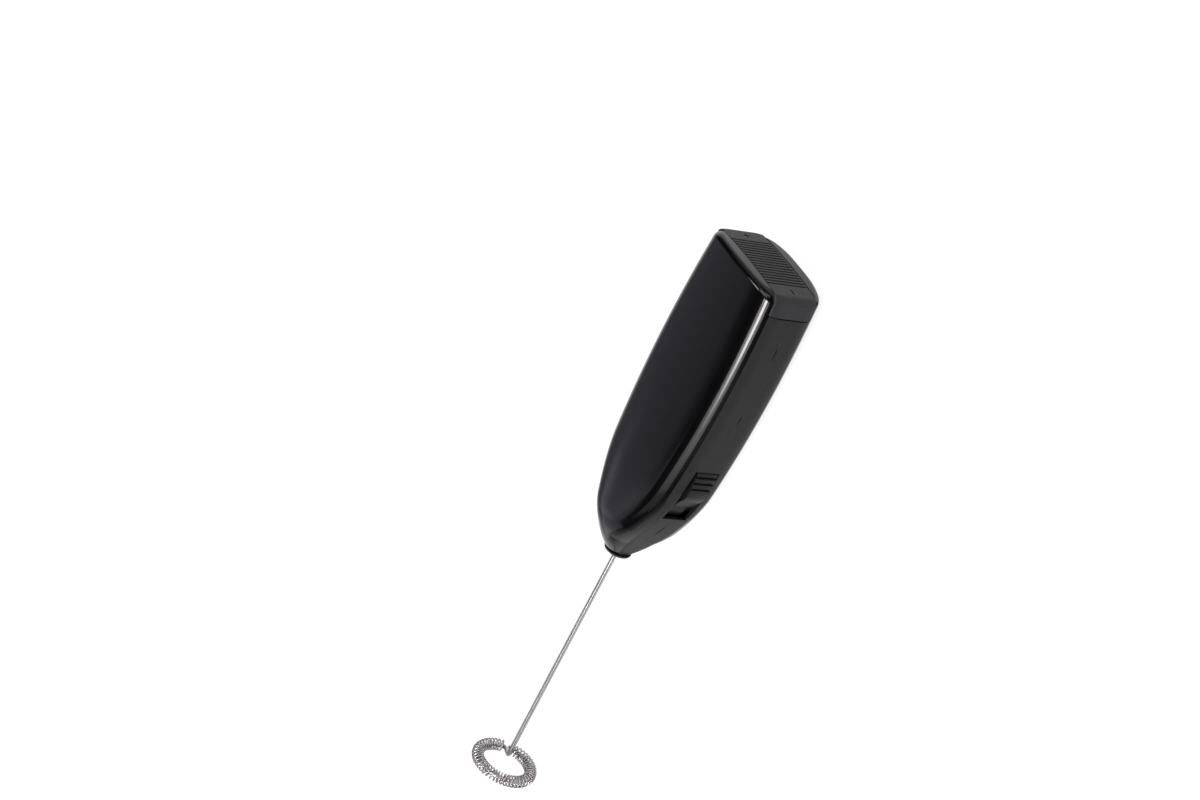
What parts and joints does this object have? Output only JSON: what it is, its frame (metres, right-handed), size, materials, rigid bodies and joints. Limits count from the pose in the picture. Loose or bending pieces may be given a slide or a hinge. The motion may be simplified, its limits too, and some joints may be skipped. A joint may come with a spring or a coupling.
{
  "type": "milk frother",
  "caption": "Hand-held battery milk frother: barrel-shaped black handle with slide switch and sliding battery cover, long wire shaft and coil ring whisk.",
  "frame": {"origin": "middle of the flat rest on the handle's back", "axes": "+X towards the battery end, along the whisk's axis; -Y is the switch side; +Z is the front face"},
  "size_m": [0.1885, 0.0398, 0.024],
  "materials": {
    "handle_black": "satin gloss",
    "cover_black": "fine satin",
    "collar_black": "matte",
    "switch_black": "satin",
    "frame_plastic": "matte",
    "contact_brass": "stamped",
    "contact_nickel": "nickel plated",
    "cell_jacket": "satin sleeve",
    "motor_steel": "zinc plated",
    "motor_nylon": "moulded",
    "bearing_bronze": "sintered",
    "magnet_ferrite": "ground",
    "shaft_steel": "ground",
    "core_steel": "laminated",
    "winding_copper": "enamelled wire",
    "commutator_copper": "turned",
    "washer_plastic": "punched",
    "coupling_plastic": "moulded",
    "whisk_steel": "bright drawn",
    "coil_steel": "drawn",
    "lead_black": "smooth",
    "lead_red": "smooth"
  },
  "bodies": {
    "handle": {"front_shell": "handle_black", "rear_shell": "handle_black", "nose_collar": "collar_black", "inner_frame": "frame_plastic", "switch_terminals": "contact_brass", "far_cell": "cell_jacket", "near_cell": "cell_jacket", "negative_spring": "contact_nickel", "positive_plate": "contact_nickel", "motor_can": "motor_steel", "motor_end_cap": "motor_nylon", "front_bearing": "bearing_bronze", "rear_bearing": "bearing_bronze", "motor_magnets": "magnet_ferrite", "motor_brushes": "contact_brass", "motor_terminals": "contact_brass", "negative_lead": "lead_black", "positive_lead": "lead_red", "switch_lead": "lead_red"},
    "cover": {"battery_cover": "cover_black", "cover_contact": "contact_nickel"},
    "switch": {"switch_button": "switch_black", "switch_leaf": "contact_brass"},
    "whisk": {"motor_shaft": "shaft_steel", "armature_core": "core_steel", "armature_windings": "winding_copper", "commutator": "commutator_copper", "thrust_washers": "washer_plastic", "shaft_coupling": "coupling_plastic", "whisk_shaft": "whisk_steel", "whisk_coil": "coil_steel"}
  },
  "joints": [
    {"name": "whisk_spin", "type": "hinge", "parent": "handle", "child": "whisk", "pos_m": [-0.0515, 0, 0.012], "axis": [-1, 0, 0], "continuous": true},
    {"name": "switch_slide", "type": "slide", "parent": "handle", "child": "switch", "axis": [-0.9837, 0.1798, 0], "range_m": [0, 0.0045]},
    {"name": "cover_slide", "type": "slide", "parent": "handle", "child": "cover", "axis": [0, -1, 0], "range_m": [0, 0.038]}
  ]
}
